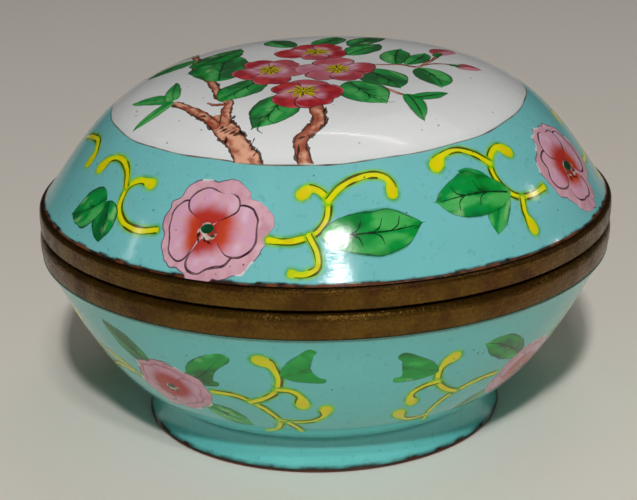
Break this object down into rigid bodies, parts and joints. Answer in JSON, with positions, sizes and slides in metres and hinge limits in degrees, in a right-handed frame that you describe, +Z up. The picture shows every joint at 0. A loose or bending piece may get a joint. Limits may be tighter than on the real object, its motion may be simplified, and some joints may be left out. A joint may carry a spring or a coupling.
{
  "type": "painted enamel covered box",
  "caption": "Round covered box of painted enamel on copper, with a domed lift-off lid, brass rim bands, a deep bowl and a low flared foot.",
  "frame": {"origin": "centre of the plane that the foot stands on", "axes": "+Z up along the box's axis; -Y is the side the picture on the lid faces, +X to its right"},
  "size_m": [0.1, 0.1, 0.0625],
  "materials": {
    "dome_enamel": "glossy turquoise painted enamel with a white reserve, fired on copper",
    "bowl_enamel": "glossy turquoise painted enamel, fired on copper",
    "foot_enamel": "glossy turquoise enamel with a bare copper lower edge",
    "rim_brass": "aged, unpolished, brown patina with fine scratches"
  },
  "bodies": {
    "root": {"lid_dome": "dome_enamel", "lid_rim": "rim_brass", "bowl_rim": "rim_brass", "bowl": "bowl_enamel", "foot_ring": "foot_enamel"}
  },
  "joints": []
}
